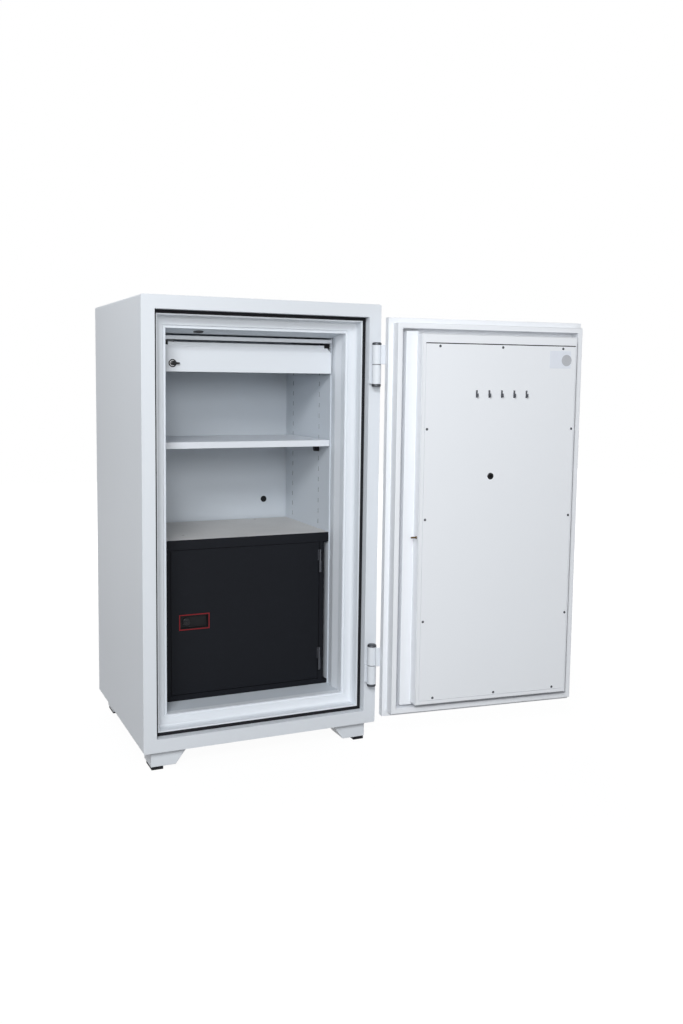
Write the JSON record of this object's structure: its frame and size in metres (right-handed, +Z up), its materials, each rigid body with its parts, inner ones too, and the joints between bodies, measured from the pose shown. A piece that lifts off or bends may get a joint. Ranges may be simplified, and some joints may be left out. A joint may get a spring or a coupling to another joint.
{
  "type": "fireproof safe",
  "caption": "Upright fireproof safe with its door open, drawer, shelf, lockable inner cabinet, key hooks, bolt work, dial and lever handle.",
  "frame": {"origin": "on the floor under the middle of the body, feet included", "axes": "+X towards the hinge side, on the right seen from the front; +Y from the door to the back; +Z up"},
  "size_m": [1.2691, 0.7777, 1.254],
  "materials": {
    "white_paint": "satin powder coat",
    "liner_paint": "satin powder coat",
    "fire_fill": "cast, matte",
    "seal_rubber": "matte",
    "pad_rubber": "matte",
    "black_plastic": "satin moulded",
    "hinge_steel": "satin",
    "bare_steel": "zinc plated",
    "bright_steel": "polished",
    "brass": "turned",
    "charcoal_paint": "fine textured powder coat",
    "knob_black": "satin",
    "red_rim": "satin"
  },
  "bodies": {
    "safe_body": {"outer_casing": "white_paint", "back_plate": "white_paint", "body_insulation": "fire_fill", "jamb_frame": "white_paint", "heat_seal": "seal_rubber", "inner_liner": "liner_paint", "right_rack_panel": "liner_paint", "left_rack_panel": "liner_paint", "ceiling_plug": "black_plastic", "back_plug": "black_plastic", "foot_brackets": "white_paint", "rubber_feet": "pad_rubber", "body_hinge_leaves": "white_paint", "hinge_pins": "hinge_steel", "hinge_end_caps": "hinge_steel", "hinge_washers": "hinge_steel", "strike_pockets": "bare_steel", "adjustable_shelf": "white_paint", "shelf_clips": "black_plastic", "drawer_housing": "white_paint", "drawer_runners": "bare_steel", "cabinet_base": "charcoal_paint", "cabinet_shell": "charcoal_paint", "cabinet_front_frame": "charcoal_paint", "cabinet_top": "charcoal_paint", "cabinet_frame_knuckles": "bare_steel", "cabinet_hinge_pins": "bare_steel"},
    "main_door": {"door_skin": "white_paint", "door_insulation": "fire_fill", "door_pan": "white_paint", "cover_panel": "white_paint", "cover_screws": "bright_steel", "key_hooks": "bright_steel", "access_plug": "black_plastic", "guide_pin": "brass", "door_hinge_leaves": "white_paint", "bolt_guides": "bare_steel", "lock_case": "bare_steel", "key_lock_body": "bright_steel", "handle_rose": "bright_steel", "dial_ring": "bright_steel"},
    "bolt_work": {"bolt_bar": "bare_steel", "lock_bolts": "bright_steel"},
    "lever_handle": {"door_handle": "bright_steel", "handle_cam": "bare_steel"},
    "dial": {"combination_dial": "black_plastic", "wheel_pack": "brass"},
    "door_key_plug": {"key_plug": "brass"},
    "drawer": {"drawer_front": "white_paint", "drawer_box": "liner_paint", "drawer_slides": "bare_steel", "drawer_lock_barrel": "bright_steel"},
    "drawer_lock": {"drawer_key": "black_plastic", "drawer_lock_cam": "bare_steel"},
    "cabinet_front": {"cabinet_door": "charcoal_paint", "cabinet_door_lining": "charcoal_paint", "cabinet_handle_bezel": "red_rim", "cabinet_door_knuckles": "bare_steel"},
    "cabinet_turn_knob": {"cabinet_knob": "knob_black"},
    "cabinet_lock_bolt": {"cabinet_bolt": "bare_steel"}
  },
  "joints": [
    {"name": "main_door_hinge", "type": "hinge", "parent": "safe_body", "child": "main_door", "pos_m": [0.317, -0.315, 0.654], "axis": [0, 0, 1], "range_deg": [-173.7, 6]},
    {"name": "handle_turn", "type": "hinge", "parent": "main_door", "child": "lever_handle", "pos_m": [0.61995, -0.36857, 0.554], "axis": [-0.1097, -0.994, 0], "range_deg": [-60, 0]},
    {"name": "bolt_slide", "type": "slide", "parent": "main_door", "child": "bolt_work", "axis": [-0.994, 0.1097, 0], "range_m": [-0.024, 0]},
    {"name": "dial_turn", "type": "hinge", "parent": "main_door", "child": "dial", "pos_m": [0.61995, -0.36857, 0.754], "axis": [-0.1097, -0.994, 0], "continuous": true},
    {"name": "door_key_turn", "type": "hinge", "parent": "main_door", "child": "door_key_plug", "pos_m": [0.61995, -0.36857, 0.654], "axis": [-0.1097, -0.994, 0], "range_deg": [-90, 0]},
    {"name": "drawer_slide", "type": "slide", "parent": "safe_body", "child": "drawer", "axis": [0, -1, 0], "range_m": [0, 0.26]},
    {"name": "drawer_key_turn", "type": "hinge", "parent": "drawer", "child": "drawer_lock", "pos_m": [-0.218, -0.145, 1.0835], "axis": [0, 1, 0], "range_deg": [-90, 0]},
    {"name": "cabinet_door_hinge", "type": "hinge", "parent": "safe_body", "child": "cabinet_front", "pos_m": [0.23, -0.1385, 0.354], "axis": [0, 0, 1], "range_deg": [0, 100]},
    {"name": "cabinet_knob_turn", "type": "hinge", "parent": "cabinet_front", "child": "cabinet_turn_knob", "pos_m": [-0.176, -0.135, 0.3585], "axis": [0, 1, 0], "range_deg": [-90, 0]},
    {"name": "cabinet_bolt_slide", "type": "slide", "parent": "cabinet_front", "child": "cabinet_lock_bolt", "axis": [1, 0, 0], "range_m": [-0.012, 0]}
  ],
  "couplings": [
    {"joint": "bolt_slide", "follows": "handle_turn", "m_per_rad": 0.022918},
    {"joint": "cabinet_knob_turn", "follows": "cabinet_bolt_slide", "rad_per_m": 130.9}
  ]
}
